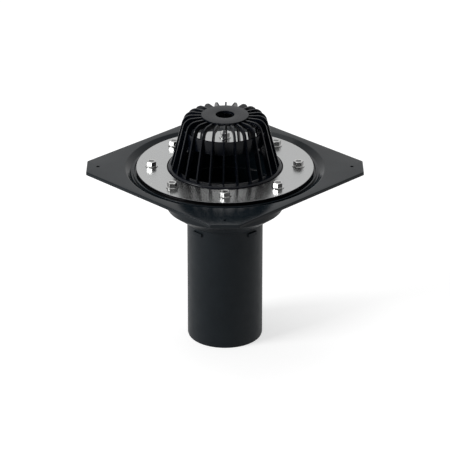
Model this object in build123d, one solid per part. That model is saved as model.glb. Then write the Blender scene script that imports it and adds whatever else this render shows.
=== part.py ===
from build123d import *
import math
import os

# Flat roof drain: a moulded body with a clamped sealing ring, and a leaf strainer that lifts out.
# Millimetres. The drain's axis is Z, Z points up, and Z = 0 is the lower end of the spigot.

# Spigot and funnel
WALL = 4.5                  # wall of every moulded part of the body, the plate included
ROOF_Z = 266.5              # height of the plate's top face above the end of the spigot
SPIGOT_D = 110.0            # outside of the spigot
LEAD_IN_HEIGHT = 2.0        # chamfer at the end of the spigot
LEAD_IN_WIDTH = 0.7
NECK_FLARE = 0.6            # the spigot widens this much from the lugs up to the funnel
LUG_COUNT = 4               # raised lugs round the top of the spigot
LUG_WIDTH = 16.5
LUG_HEIGHT = 5.1
LUG_PROUD = 2.8
LUG_GAP = 4.4               # from the foot of the funnel to the top of a lug
FUNNEL_ANGLE = 36.7         # slope of the funnel below the well, in degrees from level

# Well, clamping recess and plate, from the axis outwards
WELL_D = 161.4              # inside of the well, at its mouth
WELL_DEPTH = 60.0           # from the plate's top face to the outer bottom edge of the well
WELL_EDGE_R = 3.0           # rounding of that edge
LEDGE_WIDTH = 2.4           # step in the wall of the well
LEDGE_DEPTH = 35.0          # from the plate's top face to the step
LEDGE_EDGE_R = 0.8          # rounding of the step's edge
COLLAR_WALL = 1.9           # collar round the mouth of the well, on the recess floor
COLLAR_HEIGHT = 5.5         # above the recess floor
RECESS_DEPTH = 6.0          # from the plate's top face to the recess floor
RIB_GAP = 2.5               # from the steel ring to the rib round the recess floor
RIB_T = 2.5
RIB_HEIGHT = 2.6
RIB_EDGE_R = 0.4
GROOVE_WIDTH = 2.5          # from that rib to the foot of the recess wall
RECESS_SLOPE = 36.5         # slope of the recess wall, in degrees from level
RECESS_FOOT_R = 1.0         # rounding at the foot of the recess wall
RECESS_CREST_R = 3.0        # rounding where the recess wall meets the plate
TRAY_EDGE_R = 3.0           # rounding of the same wall on its underside
PLATE_RIM = 11.8            # from the crest of the recess to the plate's straight sides
CORNER_CUT = 20.3           # how far each corner of the square plate is cut back
PLATE_CORNER_R = 3.0        # rounding of the plate's corners, seen from above
PLATE_EDGE_R = 1.5          # rounding of the plate's upper edges
NAIL_INSET = 16.5           # from the middle of a cut corner to its nail hole
NAIL_HOLE_D = 5.0

# Clamping ring, gasket and bolts
RING_WIDTH = 44.6
RING_T = 4.0
RING_EDGE = 0.5             # chamfer of the ring's upper edges
GASKET_T = 3.0
GASKET_SET_BACK = 1.5       # edge of the gasket behind the edge of the ring
BOLT_D = 8.0
BOLT_LENGTH = 20.0          # under the head
BOLT_AF = 13.0              # hexagon, across flats
BOLT_HEAD_H = 8.0
BOLT_FLANGE_D = 17.9
BOLT_FLANGE_RIM = 1.0       # height of the flange at its rim
BOLT_FLANGE_RISE = 0.3      # height of the flange's sloping top
BOLT_DISH_D = 8.4           # shallow dish in the top of the head
BOLT_DISH_DEPTH = 0.7
BOLT_CORNER_ANGLE = 30.0    # chamfer of the hexagon's upper corners, in degrees from level
BOLT_TURNS = (13, 6, 22, 10, 9, 32, 13, 48)  # how far each bolt was left turned, in degrees
INSERT_D = 11.5
INSERT_GROOVE_W = 3.0       # groove that keeps the insert in the moulding
INSERT_GROOVE_DEPTH = 0.8
BOSS_WALL = 3.0             # plastic round and under an insert

# Leaf strainer
STRAINER_RISE = 81.5        # top of the strainer above the plate's top face
STRAINER_TURN = -1.5        # how far the strainer is turned in its seat
DISC_D = 68.0
DISC_HOLE_D = 26.8
DISC_T = 4.5
DISC_STEP = 1.6             # from the disc's top face down to the top of the fins
FIN_COUNT = 24
FIN_T = 2.4
FIN_DEPTH = 7.8             # width of the bent strip that makes a fin
FIN_SHOULDER_R = 14.5       # outer bend between a fin's top and its leg
FIN_LEAN = 19.6             # how far a fin's leg leans out, from the top plane down to its foot
FIN_FOOT_INSET = 3.5        # from the rim of the base ring to the outer edge of a fin's foot
FIN_ROOT = 6.0              # length of a fin under the disc
HOOP_T = 3.0                # hoop that ties the fins
HOOP_HEIGHT = 19.6
HOOP_DROP = 17.0            # from the top of the fins to the top of the hoop
HOOP_SET_IN = 3.0           # hoop's outside behind the fins' outer edges, at the hoop's top
BASE_T = 4.0
BASE_LIP = 0.7              # base ring that shows inside the feet of the fins
BASE_EDGE_R = 3.0           # rounding of the base ring's upper edge
SKIRT_T = 2.4               # skirt that centres the strainer in the well
SKIRT_HEIGHT = 6.5

# Clearances, radial unless it says otherwise
HOLE_PLAY = 0.5             # bolt in the ring and the gasket
THREAD_PLAY = 0.1           # bolt in its insert
TIP_ROOM = 1.0              # under the tip of a bolt, along the bolt
RING_PLAY = 0.8             # steel ring round the collar
GASKET_PLAY = 0.4           # gasket round the collar
BASE_STEP = 0.6             # edge of the collar that shows round the base ring
SKIRT_PLAY = 0.4            # skirt inside the well

# Radii that follow, from the axis outwards
spigot_r = SPIGOT_D / 2
neck_r = spigot_r + NECK_FLARE
well_r = WELL_D / 2
well_out_r = well_r + WALL
collar_r = well_r + COLLAR_WALL
base_r = collar_r - BASE_STEP
foot_r = base_r - FIN_FOOT_INSET
shoulder_r = foot_r - FIN_LEAN
ring_in_r = collar_r + RING_PLAY
ring_out_r = ring_in_r + RING_WIDTH
bolt_circle_r = (ring_in_r + ring_out_r) / 2
gasket_r = ring_out_r - GASKET_SET_BACK
rib_in_r = ring_out_r + RIB_GAP
rib_out_r = rib_in_r + RIB_T
recess_r = rib_out_r + GROOVE_WIDTH
crest_r = recess_r + RECESS_DEPTH / math.tan(math.radians(RECESS_SLOPE))
rim_r = crest_r + WALL
plate_side = 2 * (crest_r + PLATE_RIM)
plate_across_cuts = plate_side * math.sqrt(2) - 2 * CORNER_CUT
nail_pitch = math.sqrt(2) * (plate_across_cuts / 2 - NAIL_INSET)
hole_r = BOLT_D / 2 + HOLE_PLAY

# Heights that follow
recess_z = ROOF_Z - RECESS_DEPTH
ring_z = recess_z + GASKET_T
ring_top_z = ring_z + RING_T
collar_z = recess_z + COLLAR_HEIGHT
base_z = collar_z + BASE_T
well_edge_z = ROOF_Z - WELL_DEPTH
funnel_tan = math.tan(math.radians(FUNNEL_ANGLE))
funnel_foot_z = well_edge_z - (well_out_r - neck_r) * funnel_tan
lug_top_z = funnel_foot_z - LUG_GAP
lug_low_z = lug_top_z - LUG_HEIGHT
insert_length = BOLT_LENGTH - (ring_top_z - recess_z) + TIP_ROOM
disc_z = ROOF_Z + STRAINER_RISE
fin_top_z = disc_z - DISC_STEP
hoop_z = fin_top_z - HOOP_DROP
fin_slope = FIN_LEAN / (fin_top_z - base_z)
fin_leg_width = FIN_DEPTH * math.hypot(1, fin_slope)


def turned(outline):
    """Solid of revolution about Z from a closed outline of (radius, height, corner rounding)."""
    points = [(radius, height) for radius, height, rounding in outline]
    roundings = [rounding for radius, height, rounding in outline]
    return revolve(Plane.XZ * make_face(FilletPolyline(*points, radius=roundings, close=True)), Axis.Z)


def cylinder(radius, low, high):
    """Upright cylinder between two heights."""
    return Pos(0, 0, low) * Cylinder(radius, high - low, align=(Align.CENTER, Align.CENTER, Align.MIN))


def tube(outer_r, inner_r, low, high):
    """Upright tube between two heights."""
    return turned([(inner_r, low, 0), (outer_r, low, 0), (outer_r, high, 0), (inner_r, high, 0)])


def round_bolt_circle(shape):
    """Copies of a shape at every bolt's place."""
    return [place * shape for place in PolarLocations(bolt_circle_r, len(BOLT_TURNS))]


def insert_blank():
    """Outside of a threaded insert, with its groove, top face at the recess floor."""
    out_r = INSERT_D / 2
    groove_r = out_r - INSERT_GROOVE_DEPTH
    low = recess_z - insert_length
    middle = recess_z - insert_length / 2
    groove = tube(out_r, groove_r, middle - INSERT_GROOVE_W / 2, middle + INSERT_GROOVE_W / 2)
    return cylinder(out_r, low, recess_z) - groove


def plate():
    """Square plate with cut corners, nail holes and the opening that the recess fills."""
    low = ROOF_Z - WALL
    square = Rectangle(plate_side, plate_side)
    diamond = Rot(0, 0, 45) * Rectangle(plate_across_cuts, plate_across_cuts)
    outline = square & diamond
    outline = fillet(outline.vertices(), PLATE_CORNER_R)
    blank = Pos(0, 0, low) * extrude(outline, WALL)
    blank = fillet(blank.edges().group_by(Axis.Z)[-1], PLATE_EDGE_R)
    blank -= cylinder(rim_r, low, ROOF_Z)
    for place in GridLocations(nail_pitch, nail_pitch, 2, 2):
        blank -= place * cylinder(NAIL_HOLE_D / 2, low, ROOF_Z)
    return blank


def dish_well_and_spigot():
    """Moulded section turned round the axis: recess, collar, well, funnel and spigot."""
    low_floor_z = recess_z - WALL
    low_plate_z = ROOF_Z - WALL
    rib_z = recess_z + RIB_HEIGHT
    slope_offset = WALL * math.tan(math.radians(RECESS_SLOPE) / 2)
    bore_r = spigot_r - WALL
    ledge_z = ROOF_Z - LEDGE_DEPTH
    ledge_r = well_r - LEDGE_WIDTH
    throat_z = funnel_foot_z + WALL * math.tan(math.radians(FUNNEL_ANGLE) / 2)
    floor_edge_z = throat_z + (ledge_r - bore_r) * funnel_tan
    return turned([
        (rim_r, ROOF_Z, 0),
        (crest_r, ROOF_Z, RECESS_CREST_R),
        (recess_r, recess_z, RECESS_FOOT_R),
        (rib_out_r, recess_z, 0),
        (rib_out_r, rib_z, RIB_EDGE_R),
        (rib_in_r, rib_z, RIB_EDGE_R),
        (rib_in_r, recess_z, 0),
        (collar_r, recess_z, 0),
        (collar_r, collar_z, 0),
        (well_r, collar_z, 0),
        (well_r, ledge_z, 0),
        (ledge_r, ledge_z, LEDGE_EDGE_R),
        (ledge_r, floor_edge_z, WELL_EDGE_R),
        (bore_r, throat_z, WELL_EDGE_R),
        (bore_r, 0, 0),
        (spigot_r - LEAD_IN_WIDTH, 0, 0),
        (spigot_r, LEAD_IN_HEIGHT, 0),
        (spigot_r, lug_low_z, 0),
        (neck_r, funnel_foot_z, 0),
        (well_out_r, well_edge_z, WELL_EDGE_R),
        (well_out_r, low_floor_z, 0),
        (recess_r + slope_offset, low_floor_z, TRAY_EDGE_R),
        (crest_r + slope_offset, low_plate_z, TRAY_EDGE_R),
        (rim_r, low_plate_z, 0),
    ])


def spigot_lugs():
    """Raised lugs round the top of the spigot, one under each side of the plate."""
    reach = spigot_r + LUG_PROUD
    band = tube(reach, spigot_r - WALL / 2, lug_low_z, lug_top_z)
    lug = band & Pos(reach / 2, 0, lug_top_z) * Box(reach, LUG_WIDTH, 2 * LUG_HEIGHT)
    return [place * lug for place in PolarLocations(0, LUG_COUNT)]


def drain_body():
    """The whole moulding: plate, turned section, insert bosses and lugs."""
    boss_r = INSERT_D / 2 + BOSS_WALL
    boss_low = recess_z - insert_length - BOSS_WALL
    body = plate() + dish_well_and_spigot()
    body += round_bolt_circle(cylinder(boss_r, boss_low, recess_z))
    body += spigot_lugs()
    body -= round_bolt_circle(insert_blank())
    return body


def threaded_inserts():
    """Brass inserts, moulded into the bosses."""
    bore = cylinder(BOLT_D / 2 + THREAD_PLAY, recess_z - insert_length, recess_z)
    return Compound(children=round_bolt_circle(insert_blank() - bore))


def sealing_gasket():
    """Flat rubber ring on the recess floor."""
    ring = tube(gasket_r, collar_r + GASKET_PLAY, recess_z, ring_z)
    return ring - round_bolt_circle(cylinder(hole_r, recess_z, ring_z))


def clamp_ring():
    """Steel ring on the gasket, a little proud of the plate."""
    ring = tube(ring_out_r, ring_in_r, ring_z, ring_top_z)
    ring = chamfer(ring.edges().group_by(Axis.Z)[-1], RING_EDGE)
    return ring - round_bolt_circle(cylinder(hole_r, ring_z, ring_top_z))


def clamp_bolt():
    """Hexagon flange bolt: its flange bears on the steel ring."""
    flange_z = ring_top_z + BOLT_FLANGE_RIM
    head_z = ring_top_z + BOLT_HEAD_H
    flat_r = BOLT_AF / 2
    corner_r = flat_r / math.cos(math.pi / 6)
    drop = (corner_r - flat_r) * math.tan(math.radians(BOLT_CORNER_ANGLE))
    hexagon = extrude(Pos(0, 0, ring_top_z) * RegularPolygon(corner_r, 6), BOLT_HEAD_H)
    crown = turned([
        (0, ring_top_z, 0),
        (corner_r, ring_top_z, 0),
        (corner_r, head_z - drop, 0),
        (flat_r, head_z, 0),
        (BOLT_DISH_D / 2, head_z, 0),
        (BOLT_DISH_D / 2 - BOLT_DISH_DEPTH, head_z - BOLT_DISH_DEPTH, 0),
        (0, head_z - BOLT_DISH_DEPTH, 0),
    ])
    flange = turned([
        (0, ring_top_z, 0),
        (BOLT_FLANGE_D / 2, ring_top_z, 0),
        (BOLT_FLANGE_D / 2, flange_z, 0),
        (flat_r, flange_z + BOLT_FLANGE_RISE, 0),
        (0, flange_z + BOLT_FLANGE_RISE, 0),
    ])
    shank = cylinder(BOLT_D / 2, ring_top_z - BOLT_LENGTH, ring_top_z)
    return (hexagon & crown) + flange + shank


def clamp_bolts():
    """All the bolts, each left at its own angle."""
    bolt = clamp_bolt()
    places = PolarLocations(bolt_circle_r, len(BOLT_TURNS))
    return Compound(children=[place * Rot(0, 0, turn) * bolt for place, turn in zip(places, BOLT_TURNS)])


def fin_edge_r(height):
    """Radius of a fin's outer edge at a height, along the straight of its leg."""
    return shoulder_r + fin_slope * (fin_top_z - height)


def strainer_fin():
    """One fin: a strip that runs out from the disc, bends over the shoulder and leans down to its foot."""
    foot_z = base_z - BASE_T / 2
    under_z = fin_top_z - FIN_DEPTH
    root_r = DISC_D / 2 - FIN_ROOT
    strip = FilletPolyline(
        (root_r, fin_top_z),
        (shoulder_r, fin_top_z),
        (fin_edge_r(foot_z), foot_z),
        (fin_edge_r(foot_z) - fin_leg_width, foot_z),
        (fin_edge_r(under_z) - fin_leg_width, under_z),
        (root_r, under_z),
        radius=[0, FIN_SHOULDER_R, 0, 0, FIN_SHOULDER_R - FIN_DEPTH, 0],
        close=True,
    )
    return extrude(Plane.XZ * make_face(strip), FIN_T / 2, both=True)


def leaf_strainer():
    """One moulding: disc, hoop, base ring with its skirt, and the fins between them."""
    hoop_r = fin_edge_r(hoop_z) - HOOP_SET_IN
    base_in_r = foot_r - fin_leg_width - BASE_LIP
    skirt_r = well_r - SKIRT_PLAY
    skirt_z = collar_z - SKIRT_HEIGHT
    disc = tube(DISC_D / 2, DISC_HOLE_D / 2, disc_z - DISC_T, disc_z)
    hoop = tube(hoop_r, hoop_r - HOOP_T, hoop_z - HOOP_HEIGHT, hoop_z)
    base = turned([
        (base_in_r, collar_z, 0),
        (skirt_r - SKIRT_T, collar_z, 0),
        (skirt_r - SKIRT_T, skirt_z, 0),
        (skirt_r, skirt_z, 0),
        (skirt_r, collar_z, 0),
        (base_r, collar_z, 0),
        (base_r, base_z, BASE_EDGE_R),
        (base_in_r, base_z, 0),
    ])
    fins = [place * strainer_fin() for place in PolarLocations(0, FIN_COUNT)]
    return Rot(0, 0, STRAINER_TURN) * (disc + fins + hoop + base)


pieces = {
    "drain_body": drain_body(),
    "threaded_inserts": threaded_inserts(),
    "sealing_gasket": sealing_gasket(),
    "clamp_ring": clamp_ring(),
    "clamp_bolts": clamp_bolts(),
    "leaf_strainer": leaf_strainer(),
}
os.makedirs("parts", exist_ok=True)
for name, solid in pieces.items():
    export_step(solid, f"parts/{name}.step")
    print(name, round(solid.volume), "mm3")
print("plate", round(plate_side, 1), "mm, across its cut corners", round(plate_across_cuts, 1), "mm")
print("nail holes", round(nail_pitch, 1), "mm apart")
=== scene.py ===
# %% [markdown]
# # A flat roof drain
#
# The drain is a black moulded body with a square plate, a steel ring that clamps the roofing sheet, eight
# bolts and a strainer that keeps leaves out of the pipe. The CAD frame already holds every solid in its
# place. This lesson gives the pieces their finish, rebuilds the ones that gain from finer edges, and
# lights them.

# %% Load the frame
import math

import bmesh
import bpy
from mathutils import Matrix, Vector


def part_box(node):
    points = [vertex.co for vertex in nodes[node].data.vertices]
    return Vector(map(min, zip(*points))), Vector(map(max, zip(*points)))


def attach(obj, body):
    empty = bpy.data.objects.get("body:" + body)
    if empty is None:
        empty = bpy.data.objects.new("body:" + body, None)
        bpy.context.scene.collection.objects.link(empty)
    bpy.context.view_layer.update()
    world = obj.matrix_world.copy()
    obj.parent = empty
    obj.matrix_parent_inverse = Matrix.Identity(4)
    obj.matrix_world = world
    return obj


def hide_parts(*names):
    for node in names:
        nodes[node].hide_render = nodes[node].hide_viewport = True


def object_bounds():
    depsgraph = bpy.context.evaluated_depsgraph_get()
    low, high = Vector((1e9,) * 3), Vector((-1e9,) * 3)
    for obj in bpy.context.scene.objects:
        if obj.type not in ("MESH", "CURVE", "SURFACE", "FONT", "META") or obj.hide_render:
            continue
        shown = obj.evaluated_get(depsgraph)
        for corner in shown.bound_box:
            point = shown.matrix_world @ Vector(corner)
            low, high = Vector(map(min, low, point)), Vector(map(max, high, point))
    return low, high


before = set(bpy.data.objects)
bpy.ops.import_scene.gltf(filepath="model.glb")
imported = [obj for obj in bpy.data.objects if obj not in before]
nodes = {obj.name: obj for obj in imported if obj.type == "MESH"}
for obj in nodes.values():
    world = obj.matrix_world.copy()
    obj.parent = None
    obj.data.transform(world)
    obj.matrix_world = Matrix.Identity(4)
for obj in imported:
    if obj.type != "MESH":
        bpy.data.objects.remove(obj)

cad_low, cad_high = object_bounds()
MM = 0.001
print("CAD nodes:", ", ".join(sorted(nodes)))
print("CAD box in mm:", [round(size / MM, 1) for size in cad_high - cad_low])

# %% [markdown]
# ## Heights and radii
#
# The frame is the only ruler. The plate is the highest part of the body, so the top of the body's box is
# the roof line. Every piece that is rebuilt here takes its place from the box of the solid that it stands
# for.

# %% Measure the frame
ROOF_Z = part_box("drain_body")[1].z
RING_TOP_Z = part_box("clamp_ring")[1].z
strainer_low, strainer_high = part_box("leaf_strainer")
bolts_low, bolts_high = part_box("clamp_bolts")
print("roof line at", round(ROOF_Z / MM, 1), "mm, steel ring up to", round(RING_TOP_Z / MM, 1), "mm")
print("strainer from", round(strainer_low.z / MM, 1), "to", round(strainer_high.z / MM, 1), "mm")

# %% [markdown]
# ## Smooth shading on the CAD pieces
#
# A CAD mesh arrives as loose triangles, and loose triangles show their facets in a reflection. The
# frame's meshes may not be edited, but a modifier may finish them: this small Geometry Nodes tree welds
# the triangles for display and shades them smooth wherever two faces meet at less than a given angle.


# %% Weld and smooth the CAD meshes
def smoothing_tree(weld_distance, sharp_angle):
    """Geometry Nodes tree that welds a mesh and keeps only its true edges sharp."""
    tree = bpy.data.node_groups.new("weld_and_smooth", "GeometryNodeTree")
    tree.is_modifier = True
    tree.interface.new_socket("Geometry", in_out="INPUT", socket_type="NodeSocketGeometry")
    tree.interface.new_socket("Geometry", in_out="OUTPUT", socket_type="NodeSocketGeometry")
    start = tree.nodes.new("NodeGroupInput")
    end = tree.nodes.new("NodeGroupOutput")
    weld = tree.nodes.new("GeometryNodeMergeByDistance")
    weld.inputs["Distance"].default_value = weld_distance
    angle = tree.nodes.new("GeometryNodeInputMeshEdgeAngle")
    gentle = tree.nodes.new("FunctionNodeCompare")
    gentle.operation = "LESS_THAN"
    gentle.inputs["B"].default_value = sharp_angle
    faces = tree.nodes.new("GeometryNodeSetShadeSmooth")
    edges = tree.nodes.new("GeometryNodeSetShadeSmooth")
    edges.domain = "EDGE"
    tree.links.new(start.outputs["Geometry"], weld.inputs["Geometry"])
    tree.links.new(weld.outputs["Geometry"], faces.inputs["Geometry"])
    tree.links.new(faces.outputs["Geometry"], edges.inputs["Geometry"])
    tree.links.new(angle.outputs["Unsigned Angle"], gentle.inputs["A"])
    tree.links.new(gentle.outputs["Result"], edges.inputs["Shade Smooth"])
    tree.links.new(edges.outputs["Geometry"], end.inputs["Geometry"])
    return tree


smooth = smoothing_tree(weld_distance=0.002 * MM, sharp_angle=math.radians(25))
for piece in nodes.values():
    piece.modifiers.new("weld_and_smooth", "NODES").node_group = smooth
print("smoothed", len(nodes), "CAD meshes")

# %% [markdown]
# ## Helpers for finishes
#
# Every finish starts the same way: a Principled shader, and a pattern read on Object coordinates, so that
# the grain has one real size on every piece. Numbers that don't change over the surface are set on the
# shader's own sockets. Only what varies gets nodes. A pattern can run a number such as the roughness, a
# colour, or a bump.


# %% Start a finish and give it a grain
def start_finish(name, **constants):
    """New material with its Principled shader, the constants set on the shader's sockets."""
    finish = bpy.data.materials.new(name)
    finish.use_nodes = True
    shader = finish.node_tree.nodes["Principled BSDF"]
    for socket, value in constants.items():
        shader.inputs[socket.replace("_", " ")].default_value = value
    return finish, shader


def grain(finish, size, stretch=(1, 1, 1), detail=2.0):
    """Noise on Object coordinates whose blotches are about this size in metres; returns its value."""
    tree = finish.node_tree
    place = tree.nodes.new("ShaderNodeTexCoord")
    mapping = tree.nodes.new("ShaderNodeMapping")
    mapping.inputs["Scale"].default_value = stretch
    noise = tree.nodes.new("ShaderNodeTexNoise")
    noise.inputs["Scale"].default_value = 1 / size
    noise.inputs["Detail"].default_value = detail
    tree.links.new(place.outputs["Object"], mapping.inputs["Vector"])
    tree.links.new(mapping.outputs["Vector"], noise.inputs["Vector"])
    return noise.outputs["Fac"]


# %% Let a grain run a number, a colour or a bump
NOISE_LOW = 0.3
NOISE_HIGH = 0.7


def vary(finish, pattern, socket, low, high):
    """Lets a pattern run a shader's number between two values."""
    tree = finish.node_tree
    spread = tree.nodes.new("ShaderNodeMapRange")
    spread.inputs["From Min"].default_value = NOISE_LOW
    spread.inputs["From Max"].default_value = NOISE_HIGH
    spread.inputs["To Min"].default_value = low
    spread.inputs["To Max"].default_value = high
    tree.links.new(pattern, spread.inputs["Value"])
    tree.links.new(spread.outputs["Result"], socket)


def tint(finish, pattern, socket, dark, light):
    """Lets a pattern run a colour between two tones."""
    tree = finish.node_tree
    ramp = tree.nodes.new("ShaderNodeValToRGB")
    ramp.color_ramp.elements[0].position = NOISE_LOW
    ramp.color_ramp.elements[0].color = (*dark, 1)
    ramp.color_ramp.elements[1].position = NOISE_HIGH
    ramp.color_ramp.elements[1].color = (*light, 1)
    tree.links.new(pattern, ramp.inputs["Fac"])
    tree.links.new(ramp.outputs["Color"], socket)


def emboss(finish, pattern, shader, depth, strength):
    """Raises a pattern by a depth in metres as a bump."""
    tree = finish.node_tree
    bump = tree.nodes.new("ShaderNodeBump")
    bump.inputs["Distance"].default_value = depth
    bump.inputs["Strength"].default_value = strength
    tree.links.new(pattern, bump.inputs["Height"])
    tree.links.new(bump.outputs["Normal"], shader.inputs["Normal"])


# %% [markdown]
# ## Moulded plastic
#
# The body and the strainer are injection moulded in a black plastic. Its colour is nearly black, and most
# of what the eye sees on the plate is a soft mirror image of the bright room. A fine grain from the mould
# breaks that image up, and slow changes in roughness keep large faces from looking like paint. The spigot
# below the plate is duller than the plate, so the body gets extra roughness below a height, blended in
# over a short stretch.


# %% Dull a finish below a height
def height_of(finish):
    """Height of the shaded point above the end of the spigot, in metres."""
    tree = finish.node_tree
    place = tree.nodes.new("ShaderNodeTexCoord")
    split = tree.nodes.new("ShaderNodeSeparateXYZ")
    tree.links.new(place.outputs["Object"], split.inputs["Vector"])
    return split.outputs["Z"]


def dull_below(finish, height, blend, amount):
    """Adds to a roughness that is already linked, fully from a blend's length below a height."""
    tree = finish.node_tree
    roughness = tree.nodes["Principled BSDF"].inputs["Roughness"]
    lower = tree.nodes.new("ShaderNodeMapRange")
    lower.inputs["From Min"].default_value = height - blend
    lower.inputs["From Max"].default_value = height
    lower.inputs["To Min"].default_value = amount
    lower.inputs["To Max"].default_value = 0.0
    total = tree.nodes.new("ShaderNodeMath")
    total.operation = "ADD"
    tree.links.new(height_of(finish), lower.inputs["Value"])
    tree.links.new(roughness.links[0].from_socket, total.inputs[0])
    tree.links.new(lower.outputs["Result"], total.inputs[1])
    tree.links.new(total.outputs["Value"], roughness)


# %% Make the plastics
PLASTIC_IOR = 1.24
MATT_BELOW_Z = ROOF_Z - 50 * MM
MATT_BLEND = 20 * MM
SPIGOT_DULLNESS = 0.35


def moulded_plastic(name, dark, light, smoothest, roughest):
    """Black moulded plastic: blotchy near-black colour, uneven gloss and a fine mould grain."""
    finish, shader = start_finish(name, IOR=PLASTIC_IOR)
    tint(finish, grain(finish, 30 * MM, detail=4), shader.inputs["Base Color"], dark, light)
    vary(finish, grain(finish, 12 * MM, detail=3), shader.inputs["Roughness"], smoothest, roughest)
    emboss(finish, grain(finish, 1.2 * MM), shader, depth=0.003 * MM, strength=0.2)
    return finish


def dress(node, finish):
    """Gives a CAD node its finish."""
    nodes[node].data.materials.clear()
    nodes[node].data.materials.append(finish)
    print(node, "is dressed in", finish.name)


body_plastic = moulded_plastic(
    "body_plastic",
    dark=(0.0030, 0.0056, 0.0080),
    light=(0.0052, 0.0086, 0.0116),
    smoothest=0.14,
    roughest=0.20,
)
dull_below(body_plastic, MATT_BELOW_Z, MATT_BLEND, SPIGOT_DULLNESS)
strainer_plastic = moulded_plastic(
    "strainer_plastic",
    dark=(0.0014, 0.0023, 0.0046),
    light=(0.0027, 0.0038, 0.0066),
    smoothest=0.18,
    roughest=0.26,
)
dress("drain_body", body_plastic)
dress("leaf_strainer", strainer_plastic)

# %% [markdown]
# ## Steel
#
# The ring is cut from cold rolled stainless sheet. Rolling leaves fine straight lines, so its noise is
# drawn out a hundredfold along one direction. Everything below the ring's face takes a dark tone, which
# is painted shade for the shaded gap round the ring's edge. The bolts are brighter, with an even grain.
# The dish in a bolt's head is painted darker than the face round it, a painted shade for the dark that
# the dish mirrors, so the bolt's own points carry a mark for it, which the finish reads.


# %% Swap a colour where a finish is marked
def below(finish, height):
    """1 on everything lower than a height, 0 above it."""
    tree = finish.node_tree
    lower = tree.nodes.new("ShaderNodeMath")
    lower.operation = "LESS_THAN"
    lower.inputs[1].default_value = height
    tree.links.new(height_of(finish), lower.inputs[0])
    return lower.outputs["Value"]


def marked(finish, attribute):
    """The number that a piece carries on its points under this name."""
    mark = finish.node_tree.nodes.new("ShaderNodeAttribute")
    mark.attribute_name = attribute
    return mark.outputs["Fac"]


def swap_colour(finish, socket, where, colour):
    """Swaps a colour that is already linked for another one, as far as where is 1."""
    tree = finish.node_tree
    swap = tree.nodes.new("ShaderNodeMix")
    swap.data_type = "RGBA"
    swap.inputs["B"].default_value = (*colour, 1)
    tree.links.new(where, swap.inputs["Factor"])
    tree.links.new(socket.links[0].from_socket, swap.inputs["A"])
    tree.links.new(swap.outputs["Result"], socket)


# %% Make the steels
# Painted shade: the ring below its face is coloured dark for the shaded gap round its edge.
SHADE_BELOW_FACE_Z = RING_TOP_Z - 0.1 * MM
PAINTED_EDGE_SHADE = (0.03, 0.03, 0.032)
# Painted shade: the dish's dark tone stands in for the dark that it mirrors.
PAINTED_DISH_SHADE = (0.13, 0.13, 0.13)


def rolled_steel(name):
    """Satin stainless sheet with fine rolling lines along X and painted shade below its face."""
    finish, shader = start_finish(name, Metallic=1.0)
    colour = shader.inputs["Base Color"]
    lines = grain(finish, 0.6 * MM, stretch=(0.01, 1, 1), detail=3)
    tint(finish, lines, colour, dark=(0.385, 0.39, 0.389), light=(0.405, 0.41, 0.408))
    # Painted shade below the ring's face.
    swap_colour(finish, colour, below(finish, SHADE_BELOW_FACE_Z), PAINTED_EDGE_SHADE)
    gloss = grain(finish, 30 * MM, stretch=(0.1, 1, 1))
    vary(finish, gloss, shader.inputs["Roughness"], low=0.23, high=0.26)
    emboss(finish, lines, shader, depth=0.0006 * MM, strength=0.01)
    return finish


def bright_steel(name):
    """Bright steel with faint blotches and painted shade in the dish."""
    finish, shader = start_finish(name, Metallic=1.0)
    colour = shader.inputs["Base Color"]
    tint(finish, grain(finish, 4 * MM), colour, dark=(0.40, 0.40, 0.395), light=(0.46, 0.46, 0.455))
    # Painted shade in the dish.
    swap_colour(finish, colour, marked(finish, "dish"), PAINTED_DISH_SHADE)
    vary(finish, grain(finish, 1.5 * MM), shader.inputs["Roughness"], low=0.10, high=0.14)
    return finish


ring_steel = rolled_steel("ring_steel")
bolt_steel = bright_steel("bolt_steel")
dress("clamp_ring", ring_steel)
dress("clamp_bolts", bolt_steel)

# %% [markdown]
# ## Rubber and brass
#
# The gasket is cut from rubber sheet, the darkest and mattest thing here, and only its edge shows. The
# brass inserts are turned and show only when the drain is taken apart; their grain is drawn out level,
# round the tool's path.


# %% Make the rubber and the brass
def rubber(name):
    """Matt black rubber with a dusty, slightly open skin."""
    finish, shader = start_finish(name, IOR=1.2)
    colour = shader.inputs["Base Color"]
    dust = grain(finish, 6 * MM, detail=5)
    tint(finish, dust, colour, dark=(0.004, 0.004, 0.0042), light=(0.008, 0.008, 0.0084))
    vary(finish, grain(finish, 3 * MM), shader.inputs["Roughness"], low=0.5, high=0.65)
    emboss(finish, grain(finish, 0.4 * MM), shader, depth=0.03 * MM, strength=0.4)
    return finish


def turned_brass(name):
    """Brass with fine turning marks round its axis."""
    finish, shader = start_finish(name, Metallic=1.0)
    colour = shader.inputs["Base Color"]
    tint(finish, grain(finish, 3 * MM), colour, dark=(0.62, 0.44, 0.16), light=(0.74, 0.55, 0.24))
    marks = grain(finish, 0.4 * MM, stretch=(0.1, 0.1, 1))
    vary(finish, marks, shader.inputs["Roughness"], low=0.22, high=0.34)
    return finish


dress("sealing_gasket", rubber("gasket_rubber"))
dress("threaded_inserts", turned_brass("insert_brass"))

# %% [markdown]
# ## Outlines and skins
#
# The strainer and the bolts have edges that a moulding tool and a forging die leave round, and those
# edges catch the light. Two helpers rebuild them: one rounds the corners of an outline, the other
# stretches a skin over a row of rings, as a basket maker weaves over hoops.


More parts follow.
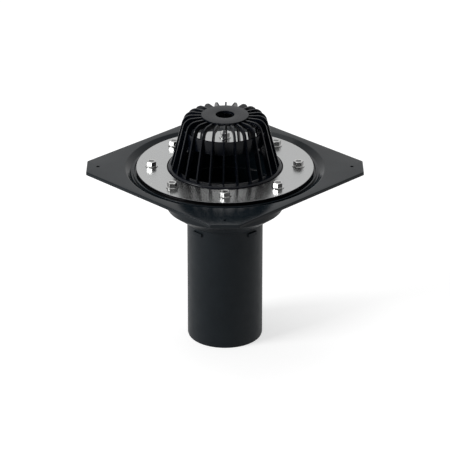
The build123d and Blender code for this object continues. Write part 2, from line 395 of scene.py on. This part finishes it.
# %% Round an outline
def rounded(corners, step=math.radians(12)):
    """Outline in millimetres from corners (x, z, radius), each corner turned into an arc."""
    points = []
    for index, (x, z, radius) in enumerate(corners):
        here = Vector((x, z))
        before = (Vector(corners[index - 1][:2]) - here).normalized()
        after = (Vector(corners[(index + 1) % len(corners)][:2]) - here).normalized()
        half = before.angle(after) / 2
        centre = here + (before + after).normalized() * radius / math.sin(half)
        first = here + before * radius / math.tan(half) - centre
        sweep = first.angle_signed(here + after * radius / math.tan(half) - centre)
        count = max(2, math.ceil(abs(sweep) / step))
        for number in range(count + 1):
            arm = first.copy()
            arm.rotate(Matrix.Rotation(-sweep * number / count, 2))
            points.append(centre + arm)
    return points


# %% Stretch a skin over rings
def skin(name, rings, closed, sharp=38):
    """Mesh over rings of points in millimetres, smooth but for edges sharper than an angle in degrees.

    A closed skin joins its last ring to its first; an open one is capped at both ends.
    """
    mesh = bpy.data.meshes.new(name)
    shape = bmesh.new()
    rows = [[shape.verts.new([MM * part for part in point]) for point in ring] for ring in rings]
    pairs = list(zip(rows, rows[1:])) + ([(rows[-1], rows[0])] if closed else [])
    for upper, lower in pairs:
        for here in range(len(upper)):
            after = (here + 1) % len(upper)
            shape.faces.new((upper[here], lower[here], lower[after], upper[after]))
    if not closed:
        shape.faces.new(rows[0])
        shape.faces.new(reversed(rows[-1]))
    bmesh.ops.recalc_face_normals(shape, faces=shape.faces)
    shape.to_mesh(mesh)
    shape.free()
    mesh.shade_smooth()
    mesh.set_sharp_from_angle(angle=math.radians(sharp))
    return bpy.data.objects.new(name, mesh)


def round_ring(radius, height, angles):
    """Ring of points about the axis at these angles."""
    return [(radius * math.cos(angle), radius * math.sin(angle), height) for angle in angles]


# %% [markdown]
# ## Copies on a circle
#
# Bolts and fins repeat round the drain's axis. A Geometry Nodes tree sets copies of one original on a
# circle, each turned to face outwards. Bolts tightened by hand end up at any angle, so the tree also
# reads a turn of its own for each copy, from points that carry these turns as an attribute.


# %% Grow the tree that copies round a circle
def circle_tree():
    """Geometry Nodes tree that stands copies of an object on a circle."""
    tree = bpy.data.node_groups.new("copies_on_a_circle", "GeometryNodeTree")
    tree.is_modifier = True
    for label, kind in (
        ("Turns", "Geometry"),
        ("Original", "Object"),
        ("Count", "Int"),
        ("Radius", "Float"),
        ("Height", "Float"),
        ("Whole Turn", "Float"),
        ("Finish", "Material"),
    ):
        tree.interface.new_socket(label, in_out="INPUT", socket_type="NodeSocket" + kind)
    tree.interface.new_socket("Geometry", in_out="OUTPUT", socket_type="NodeSocketGeometry")
    start = tree.nodes.new("NodeGroupInput")
    end = tree.nodes.new("NodeGroupOutput")
    circle = tree.nodes.new("GeometryNodeMeshCircle")
    original = tree.nodes.new("GeometryNodeObjectInfo")
    stand = tree.nodes.new("GeometryNodeInstanceOnPoints")
    number = tree.nodes.new("GeometryNodeInputIndex")
    share = tree.nodes.new("ShaderNodeMath")
    share.operation = "DIVIDE"
    share.inputs[0].default_value = 2 * math.pi
    own_turn = tree.nodes.new("GeometryNodeInputNamedAttribute")
    own_turn.inputs["Name"].default_value = "turn"
    read_turn = tree.nodes.new("GeometryNodeSampleIndex")
    turn = tree.nodes.new("ShaderNodeMath")
    turn.operation = "MULTIPLY_ADD"
    about_z = tree.nodes.new("ShaderNodeCombineXYZ")
    lift = tree.nodes.new("ShaderNodeCombineXYZ")
    spin = tree.nodes.new("ShaderNodeCombineXYZ")
    raise_up = tree.nodes.new("GeometryNodeTransform")
    realize = tree.nodes.new("GeometryNodeRealizeInstances")
    paint = tree.nodes.new("GeometryNodeSetMaterial")
    for source, target in (
        (start.outputs["Count"], circle.inputs["Vertices"]),
        (start.outputs["Radius"], circle.inputs["Radius"]),
        (start.outputs["Original"], original.inputs["Object"]),
        (circle.outputs["Mesh"], stand.inputs["Points"]),
        (original.outputs["Geometry"], stand.inputs["Instance"]),
        (start.outputs["Count"], share.inputs[1]),
        (start.outputs["Turns"], read_turn.inputs["Geometry"]),
        (own_turn.outputs["Attribute"], read_turn.inputs["Value"]),
        (number.outputs["Index"], read_turn.inputs["Index"]),
        (share.outputs["Value"], turn.inputs[0]),
        (number.outputs["Index"], turn.inputs[1]),
        (read_turn.outputs["Value"], turn.inputs[2]),
        (turn.outputs["Value"], about_z.inputs["Z"]),
        (about_z.outputs["Vector"], stand.inputs["Rotation"]),
        (start.outputs["Height"], lift.inputs["Z"]),
        (stand.outputs["Instances"], raise_up.inputs["Geometry"]),
        (lift.outputs["Vector"], raise_up.inputs["Translation"]),
        (start.outputs["Whole Turn"], spin.inputs["Z"]),
        (spin.outputs["Vector"], raise_up.inputs["Rotation"]),
        (raise_up.outputs["Geometry"], realize.inputs["Geometry"]),
        (realize.outputs["Geometry"], paint.inputs["Geometry"]),
        (start.outputs["Finish"], paint.inputs["Material"]),
        (paint.outputs["Geometry"], end.inputs["Geometry"]),
    ):
        tree.links.new(source, target)
    return tree


CIRCLE_TREE = circle_tree()
print("circle tree:", len(CIRCLE_TREE.nodes), "nodes")


# %% Run the tree on an original
def copies_on_circle(name, original, turns, **inputs):
    """Plain mesh object made by the circle tree, with a copy of the original for each turn.

    The tree's inputs are set by their identifiers before it first runs.
    """
    holder = bpy.data.objects.new(name + "_holder", bpy.data.meshes.new(name + "_holder"))
    holder.data.from_pydata([(0, 0, 0)] * len(turns), [], [])
    holder.data.attributes.new("turn", "FLOAT", "POINT").data.foreach_set("value", turns)
    grower = holder.modifiers.new("copies", "NODES")
    grower.node_group = CIRCLE_TREE
    items = CIRCLE_TREE.interface.items_tree
    sockets = {item.name: item.identifier for item in items if item.in_out == "INPUT"}
    grower[sockets["Original"]] = original
    grower[sockets["Count"]] = len(turns)
    for label, value in inputs.items():
        grower[sockets[label.replace("_", " ")]] = value
    bpy.context.scene.collection.objects.link(original)
    bpy.context.scene.collection.objects.link(holder)
    mesh = bpy.data.meshes.new_from_object(holder.evaluated_get(bpy.context.evaluated_depsgraph_get()))
    mesh.name = name
    bpy.data.objects.remove(holder)
    bpy.data.objects.remove(original)
    return bpy.data.objects.new(name, mesh)


# %% [markdown]
# ## Flange bolts
#
# The ring is held by M8 hexagon bolts with a flange in place of a washer. Such a bolt is forged: the
# hexagon's corners are rounded, its upper corners are cut by a cone, the head is dished, and the flange
# rises to the head in a fillet. The thread is rolled into the shank, so here it stays inside the CAD
# shank's radius. All of it is one skin over rings, from the dish down to the tip, and each ring has its
# points at the same angles. Sizes are in millimetres, with heights from the face under the flange.

# %% Draw the hexagon and the flange
HEAD_TOP = round((bolts_high.z - RING_TOP_Z) / MM, 2)
FLAT_R = 6.5  # half the width across the flats
HEX_ROUND = 0.45  # rounding of the hexagon's upright edges
FLAT_STEPS = 6  # points along a flat
LONGEST_ARC_STEP = 1.0  # a step longer than this is a flat, not part of a corner's arc
CORNER_CONE = math.tan(math.radians(30))
FLANGE_R = 8.95
FLANGE_RIM = 1.0  # height of the flange at its rim
FLANGE_RISE = 0.3  # from the rim up to the foot of the head


def hexagon_outline():
    """Rounded hexagon with a corner on +X, as angles and radii in step."""
    corner_r = FLAT_R / math.cos(math.pi / 6)
    corners = []
    for turn in range(0, 360, 60):
        angle = math.radians(turn)
        corners.append((corner_r * math.cos(angle), corner_r * math.sin(angle), HEX_ROUND))
    arcs = rounded(corners)
    points = []
    for here, after in zip(arcs, arcs[1:] + arcs[:1]):
        pieces = FLAT_STEPS if (after - here).length > LONGEST_ARC_STEP else 1
        points += [here.lerp(after, part / pieces) for part in range(pieces)]
    return [math.atan2(point.y, point.x) for point in points], [point.length for point in points]


def head_edge(radius):
    """Height of the head's upper edge, which a cone cuts at the corners."""
    return HEAD_TOP - max(0.0, radius - FLAT_R) * CORNER_CONE


def flange_slope(radius):
    """Height of the flange's sloping top at a radius."""
    return FLANGE_RIM + FLANGE_RISE * (FLANGE_R - radius) / (FLANGE_R - FLAT_R)


hex_angles, hex_reach = hexagon_outline()
print("hexagon:", len(hex_angles), "points,", round(2 * max(hex_reach), 2), "mm over its corners")

# %% Forge a bolt
DISH_DEPTH = 0.7
DISH_FLOOR = HEAD_TOP - DISH_DEPTH
# Painted shade fills the floor of the dish.
DISH_SHADE_R = 3.6  # the dark tone fills the floor of the dish
# Round rings are given by radius and height.
DISH_RINGS = ((1.6, DISH_FLOOR), (3.3, DISH_FLOOR), (3.55, DISH_FLOOR + 0.08), (4.05, HEAD_TOP - 0.1))
FACE_RINGS = ((4.3, HEAD_TOP), (5.2, HEAD_TOP), (6.2, HEAD_TOP))
# Rings round the hexagon are given by how far they stand out from it and up from a surface of the head.
HEAD_EDGE_RINGS = ((-0.25, 0), (-0.08, -0.05), (0, -0.25), (0, -0.35))
HEAD_FOOT_RINGS = ((0, 0.45), (0, 0.35), (0.08, 0.1), (0.3, 0))
RIM_ROUND = 0.1
RIM_FOOT = 0.45  # height of the rim's lower edge
SLOPE_END_R = 8.6
RIM_RINGS = (
    (SLOPE_END_R, flange_slope(SLOPE_END_R)),
    (FLANGE_R - RIM_ROUND, FLANGE_RIM),
    (FLANGE_R, FLANGE_RIM - RIM_ROUND),
    (FLANGE_R, RIM_FOOT + RIM_ROUND),
    (FLANGE_R - RIM_ROUND, RIM_FOOT),
)
UNDER_RINGS = ((8.0, 0), (4.4, 0))
SHANK_R = 4.0
THREAD_PITCH = 1.25
THREAD_DEPTH = 0.7
RINGS_PER_TURN = 5


def hex_ring(grow, surface, rise):
    """Ring round the hexagon, grown by a distance and raised from a surface of the head."""
    ring = []
    for angle, reach in zip(hex_angles, hex_reach):
        radius = reach + grow
        ring.append((radius * math.cos(angle), radius * math.sin(angle), surface(radius) + rise))
    return ring


def thread_rings(length):
    """Rings down the threaded shank: each one is a little further round the thread's wave."""
    rings = []
    count = round(length / THREAD_PITCH * RINGS_PER_TURN)
    for number in range(count + 1):
        drop = length * number / count
        depth = THREAD_DEPTH * min(1, drop / THREAD_PITCH)
        tip = SHANK_R - THREAD_DEPTH + (length - drop)
        ring = []
        for angle in hex_angles:
            wave = 0.5 - 0.5 * math.cos(2 * math.pi * drop / THREAD_PITCH + angle)
            radius = min(SHANK_R - depth * wave, tip)
            ring.append((radius * math.cos(angle), radius * math.sin(angle), -drop))
        rings.append(ring)
    return rings


def bolt_rings(length):
    """Rings of a bolt from the dish in its head down to its tip, heights from the face under its flange."""
    rings = [round_ring(radius, height, hex_angles) for radius, height in DISH_RINGS + FACE_RINGS]
    rings += [hex_ring(grow, head_edge, rise) for grow, rise in HEAD_EDGE_RINGS]
    rings += [hex_ring(grow, flange_slope, rise) for grow, rise in HEAD_FOOT_RINGS]
    rings += [round_ring(radius, height, hex_angles) for radius, height in RIM_RINGS + UNDER_RINGS]
    return rings + thread_rings(length)


bolt = skin("bolt", bolt_rings((RING_TOP_Z - bolts_low.z) / MM), closed=False, sharp=20)
# Points in the dish carry the mark for its painted shade.
in_dish = [float(point.co.z > 0 and point.co.xy.length < DISH_SHADE_R * MM) for point in bolt.data.vertices]
bolt.data.attributes.new("dish", "FLOAT", "POINT").data.foreach_set("value", in_dish)
print("one bolt:", len(bolt.data.polygons), "faces,", round(sum(in_dish)), "points in the dish")

# %% Set eight bolts
BOLT_TURNS = [math.radians(turn) for turn in (13, 6, 22, 10, 9, 32, 13, 48)]
bolts = copies_on_circle(
    "flange_bolts",
    bolt,
    BOLT_TURNS,
    Radius=bolts_high.x - FLANGE_R * MM,
    Height=RING_TOP_Z,
    Finish=bolt_steel,
)
bpy.context.scene.collection.objects.link(bolts)
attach(bolts, "root")
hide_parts("clamp_bolts")
print("bolts:", len(bolts.data.polygons), "faces")

# %% [markdown]
# ## Leaf strainer
#
# The strainer is one moulding that lifts out: a disc with a finger hole, a hoop, a base ring with a
# skirt, and 24 fins bent like the ribs of an umbrella. A fin is cut from the same outline as in the CAD
# model and gets rounded edges, which is how a moulding leaves its tool. The rings are turned from their
# cross sections. All sizes are in millimetres, with heights from the roof line, and the fins' lean sets
# where the hoop and the base ring meet them.

# %% Outline a fin
FIN_DEPTH = 7.8  # width of the bent strip that makes a fin
FIN_ROOT_R = 28.0  # where a fin starts, under the disc
FIN_LEAN = 19.6  # how far a fin's leg leans out, from its top down to the base ring
SHOULDER_R = 14.5  # outer bend between a fin's top and its leg
FIN_END_ROUND = 1.0
DISC_TOP = round((strainer_high.z - ROOF_Z) / MM, 2)
DISC_STEP = 1.6  # from the disc's top down to the top of the fins
FIN_TOP = DISC_TOP - DISC_STEP
FIN_UNDER = FIN_TOP - FIN_DEPTH
BASE_R = 82.0
BASE_TOP = 3.5
FOOT_INSET = 3.5  # from the rim of the base ring to the outer edge of a fin
FOOT_SUNK = 2.0  # how deep a fin's foot goes into the base ring
FOOT_Z = BASE_TOP - FOOT_SUNK
LEAN = FIN_LEAN / (FIN_TOP - BASE_TOP)
LEG_WIDTH = FIN_DEPTH * math.hypot(1, LEAN)


def leg_outside(height):
    """Radius of the fins' outer edge at a height."""
    return BASE_R - FOOT_INSET - (height - BASE_TOP) * LEAN


def leg_inside(height):
    """Radius of the fins' inner edge at a height."""
    return leg_outside(height) - LEG_WIDTH


FIN_OUTLINE = (
    (0, FIN_TOP, FIN_END_ROUND),
    (leg_outside(FIN_TOP) - FIN_ROOT_R, FIN_TOP, SHOULDER_R),
    (leg_outside(FOOT_Z) - FIN_ROOT_R, FOOT_Z, FIN_END_ROUND),
    (leg_inside(FOOT_Z) - FIN_ROOT_R, FOOT_Z, FIN_END_ROUND),
    (leg_inside(FIN_UNDER) - FIN_ROOT_R, FIN_UNDER, SHOULDER_R - FIN_DEPTH),
    (0, FIN_UNDER, FIN_END_ROUND),
)
print("fin corners in mm:", [(round(x, 2), round(z, 2)) for x, z, radius in FIN_OUTLINE])

# %% Cut a fin and set 24 of them
FIN_COUNT = 24
FIN_T = 2.4
STRAINER_TURN = math.radians(-1.5)  # how the strainer lies in its seat
HALF_FIN = FIN_T / 2
# Layers of a fin's edge: how far out from the fin's middle, and how far back from its outline.
FIN_EDGE = ((HALF_FIN, 0.5), (HALF_FIN, 0.25), (HALF_FIN - 0.08, 0.07), (HALF_FIN - 0.25, 0.0))


def inset(outline, distance):
    """Outline moved inwards; it runs clockwise."""
    moved = []
    for index, point in enumerate(outline):
        along = (outline[(index + 1) % len(outline)] - outline[index - 1]).normalized()
        moved.append(point + Vector((along.y, -along.x)) * distance)
    return moved


def fin_rings():
    """Rings across a fin's thickness, drawn in at both faces so that its edges are round."""
    outline = rounded(FIN_OUTLINE)
    layers = [(-side, back) for side, back in FIN_EDGE]
    layers += [(side, back) for side, back in reversed(FIN_EDGE)]
    return [[(point.x, side, point.y) for point in inset(outline, back)] for side, back in layers]


strainer = copies_on_circle(
    "strainer",
    skin("fin", fin_rings(), closed=False),
    [0.0] * FIN_COUNT,
    Radius=FIN_ROOT_R * MM,
    Height=ROOF_Z,
    Whole_Turn=STRAINER_TURN,
    Finish=strainer_plastic,
)
print("fins:", len(strainer.data.polygons), "faces")

# %% Draw the cross sections of the rings
DISC_R = 34.0
DISC_HOLE_R = 13.4
DISC_T = 4.5
HOOP_T = 3.0
HOOP_HEIGHT = 19.6
HOOP_DROP = 17.0  # from the top of the fins to the top of the hoop
HOOP_SET_IN = 3.0  # from the fins' outer edges to the hoop, at its top
HOOP_TOP = FIN_TOP - HOOP_DROP
HOOP_R = leg_outside(HOOP_TOP) - HOOP_SET_IN
BASE_LIP = 0.7  # base ring that shows inside the feet of the fins
BASE_HOLE_R = leg_inside(BASE_TOP) - BASE_LIP
BASE_T = 4.0
BASE_LOW = BASE_TOP - BASE_T
BASE_EDGE_ROUND = 3.0
SKIRT_R = 80.3
SKIRT_T = 2.4
SKIRT_LOW = round((strainer_low.z - ROOF_Z) / MM, 2)
DISC_UNDER_ROUND = 0.5
DISC_TOP_ROUND = 0.6
HOOP_ROUND = 0.5
BASE_ROUND = 0.4
SKIRT_ROOT_ROUND = 0.2

DISC_SECTION = (
    (DISC_HOLE_R, DISC_TOP - DISC_T, DISC_UNDER_ROUND),
    (DISC_R, DISC_TOP - DISC_T, DISC_UNDER_ROUND),
    (DISC_R, DISC_TOP, DISC_TOP_ROUND),
    (DISC_HOLE_R, DISC_TOP, DISC_TOP_ROUND),
)
HOOP_SECTION = (
    (HOOP_R - HOOP_T, HOOP_TOP - HOOP_HEIGHT, HOOP_ROUND),
    (HOOP_R, HOOP_TOP - HOOP_HEIGHT, HOOP_ROUND),
    (HOOP_R, HOOP_TOP, HOOP_ROUND),
    (HOOP_R - HOOP_T, HOOP_TOP, HOOP_ROUND),
)
BASE_SECTION = (
    (BASE_HOLE_R, BASE_LOW, BASE_ROUND),
    (SKIRT_R - SKIRT_T, BASE_LOW, SKIRT_ROOT_ROUND),
    (SKIRT_R - SKIRT_T, SKIRT_LOW, BASE_ROUND),
    (SKIRT_R, SKIRT_LOW, BASE_ROUND),
    (SKIRT_R, BASE_LOW, SKIRT_ROOT_ROUND),
    (BASE_R, BASE_LOW, BASE_ROUND),
    (BASE_R, BASE_TOP, BASE_EDGE_ROUND),
    (BASE_HOLE_R, BASE_TOP, BASE_ROUND),
)
print("hoop radius", round(HOOP_R, 2), "mm, hole of the base ring", round(BASE_HOLE_R, 2), "mm")

# %% Turn the rings and join the strainer
TURN_STEPS = 160


def turned_rings(section):
    """The same cross section at every step round the axis."""
    outline = rounded(section)
    rings = []
    for number in range(TURN_STEPS):
        angle = 2 * math.pi * number / TURN_STEPS
        rings.append([(point.x * math.cos(angle), point.x * math.sin(angle), point.y) for point in outline])
    return rings


moulding = bmesh.new()
moulding.from_mesh(strainer.data)
for part, section in (("disc", DISC_SECTION), ("hoop", HOOP_SECTION), ("base", BASE_SECTION)):
    solid = skin(part, turned_rings(section), closed=True)
    solid.data.transform(Matrix.Translation((0, 0, ROOF_Z)))
    moulding.from_mesh(solid.data)
    bpy.data.objects.remove(solid)
for face in moulding.faces:
    face.material_index = 0
moulding.to_mesh(strainer.data)
moulding.free()
strainer.data.materials.clear()
strainer.data.materials.append(strainer_plastic)
bpy.context.scene.collection.objects.link(strainer)
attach(strainer, "root")
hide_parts("leaf_strainer")
print("strainer:", len(strainer.data.polygons), "faces")

# %% [markdown]
# ## Floor and room
#
# The photograph has a clean white ground. The floor is a pale plane under the spigot that adds a little
# of its own white to what the camera and the reflections see, so that it reads as white but still takes a
# soft shadow. The room beyond it is white in the same way, and gives the object only a mild fill light.


# %% Mix the floor's paint
FLOOR_ALBEDO = 0.6
FLOOR_LIFT = 0.62


def seen_directly(tree):
    """1 for rays of the camera, of reflections and through glass, 0 for the rest."""
    path = tree.nodes.new("ShaderNodeLightPath")
    either = tree.nodes.new("ShaderNodeMath")
    either.operation = "MAXIMUM"
    any_of = tree.nodes.new("ShaderNodeMath")
    any_of.operation = "MAXIMUM"
    tree.links.new(path.outputs["Is Camera Ray"], either.inputs[0])
    tree.links.new(path.outputs["Is Glossy Ray"], either.inputs[1])
    tree.links.new(either.outputs["Value"], any_of.inputs[0])
    tree.links.new(path.outputs["Is Transmission Ray"], any_of.inputs[1])
    return any_of.outputs["Value"]


def floor_finish():
    """Pale floor that the camera sees as white, and that a low camera sees through from below."""
    finish = bpy.data.materials.new("floor")
    finish.use_nodes = True
    tree = finish.node_tree
    tree.nodes.clear()
    paint = tree.nodes.new("ShaderNodeBsdfDiffuse")
    paint.inputs["Color"].default_value = (FLOOR_ALBEDO, FLOOR_ALBEDO, FLOOR_ALBEDO, 1)
    glow = tree.nodes.new("ShaderNodeEmission")
    lift = tree.nodes.new("ShaderNodeMath")
    lift.operation = "MULTIPLY"
    lift.inputs[1].default_value = FLOOR_LIFT
    tree.links.new(seen_directly(tree), lift.inputs[0])
    tree.links.new(lift.outputs["Value"], glow.inputs["Strength"])
    both = tree.nodes.new("ShaderNodeAddShader")
    tree.links.new(paint.outputs["BSDF"], both.inputs[0])
    tree.links.new(glow.outputs["Emission"], both.inputs[1])
    clear = tree.nodes.new("ShaderNodeBsdfTransparent")
    side = tree.nodes.new("ShaderNodeNewGeometry")
    mix = tree.nodes.new("ShaderNodeMixShader")
    tree.links.new(side.outputs["Backfacing"], mix.inputs["Fac"])
    tree.links.new(both.outputs["Shader"], mix.inputs[1])
    tree.links.new(clear.outputs["BSDF"], mix.inputs[2])
    out = tree.nodes.new("ShaderNodeOutputMaterial")
    tree.links.new(mix.outputs["Shader"], out.inputs["Surface"])
    return finish


# %% Lay the floor and light the room
FLOOR_SIDE = 80.0
ROOM_FILL = 0.45
bpy.ops.mesh.primitive_plane_add(size=FLOOR_SIDE, location=(0, 0, cad_low.z))
floor = bpy.context.object
floor.name = "floor"
floor.data.materials.append(floor_finish())

room = bpy.data.worlds.new("white_room")
room.use_nodes = True
bpy.context.scene.world = room
ground = room.node_tree.nodes["Background"]
ground.inputs["Color"].default_value = (1, 1, 1, 1)
strength = room.node_tree.nodes.new("ShaderNodeMapRange")
strength.inputs["To Min"].default_value = ROOM_FILL
strength.inputs["To Max"].default_value = 1.0
room.node_tree.links.new(seen_directly(room.node_tree), strength.inputs["Value"])
room.node_tree.links.new(strength.outputs["Result"], ground.inputs["Strength"])
print("floor at", round(cad_low.z / MM, 1), "mm")

# %% [markdown]
# ## Camera
#
# The photograph looks at one cut corner from about 25 degrees above the roof, through a long lens. Its
# upright lines are parallel, and a long lens from far away comes closest to that without shifting the
# picture.

# %% Place the camera
CAMERA_DISTANCE = 4.0
CAMERA_PITCH = math.radians(25.08)
AIM_BELOW_ROOF = 93.1 * MM
LENS = 219.85
SENSOR = 36
FARTHEST_SEEN = 200
to_right = Vector((1, 1, 0)).normalized()
to_back = Vector((-1, 1, 0)).normalized()
upward = Vector((0, 0, 1))
aim = Vector((0, 0, ROOF_Z - AIM_BELOW_ROOF))
towards_camera = -to_back * math.cos(CAMERA_PITCH) + upward * math.sin(CAMERA_PITCH)

camera = bpy.data.objects.new("camera", bpy.data.cameras.new("camera"))
bpy.context.scene.collection.objects.link(camera)
camera.data.lens = LENS
camera.data.sensor_width = SENSOR
camera.data.clip_end = FARTHEST_SEEN
camera.location = aim + towards_camera * CAMERA_DISTANCE
camera.rotation_euler = (-towards_camera).to_track_quat("-Z", "Y").to_euler()
bpy.context.scene.camera = camera
print("camera", round(CAMERA_DISTANCE, 2), "m away,", round(math.degrees(CAMERA_PITCH), 1), "degrees up")

# %% [markdown]
# ## Lamps and cards
#
# One wide soft lamp stands on the left, a little in front and above. The steel ring mirrors it into the
# bolts, which whitens their left faces, and it models the pipe. A broad panel overhead lights the plate.
# Bright steel shows whatever it faces, and in an all-white room every face of a bolt would be white. So
# two grey cards stand far off, one behind the camera and one on the right, and give the other faces
# something darker to mirror. The camera doesn't see them.


# %% Set the lamps
def soft_lamp(name, right, back, up, width, height, watts):
    """Area lamp at a place given from the aim point, facing it."""
    lamp = bpy.data.objects.new(name, bpy.data.lights.new(name, "AREA"))
    lamp.data.shape = "RECTANGLE"
    lamp.data.size = width
    lamp.data.size_y = height
    lamp.data.energy = watts
    lamp.location = aim + to_right * right + to_back * back + upward * up
    lamp.rotation_euler = (lamp.location - aim).to_track_quat("Z", "Y").to_euler()
    bpy.context.scene.collection.objects.link(lamp)
    print(name, "lamp", round((lamp.location - aim).length, 2), "m away")


soft_lamp("key", right=-1.905, back=-0.848, up=0.97, width=1.0, height=0.65, watts=38)
soft_lamp("overhead", right=-0.3, back=0.6, up=2.4, width=2.0, height=2.0, watts=20)

# %% Stand up the grey cards
CARD_ALBEDO = 0.3
RIGHT_PER_FORWARD = 1.54  # the right card stands this far right for each metre forward
grey, grey_shader = start_finish("grey_card", Specular_IOR_Level=0.0)
grey_shader.inputs["Base Color"].default_value = (CARD_ALBEDO, CARD_ALBEDO, CARD_ALBEDO, 1)


def grey_card(name, to_side, distance, width, height):
    """Grey card that stands on the floor on one side and faces the drain, out of the camera's sight."""
    bpy.ops.mesh.primitive_plane_add(size=1)
    card = bpy.context.object
    card.name = name
    card.scale = (width, height, 1)
    card.location = to_side * distance + upward * (cad_low.z + height / 2)
    card.rotation_euler = (-to_side).to_track_quat("Z", "Y").to_euler()
    card.visible_camera = False
    card.data.materials.append(grey)
    print(name, distance, "m away")


right_and_forward = (to_right * RIGHT_PER_FORWARD - to_back).normalized()
grey_card("card_in_front", -to_back, distance=5.0, width=7.0, height=3.5)
grey_card("card_on_the_right", right_and_forward, distance=4.5, width=4.0, height=3.5)

# %% [markdown]
# ## Finish
#
# The colours are shown as they are written, without a film look.

# %% Show the colours as written
bpy.context.scene.view_settings.view_transform = "Standard"
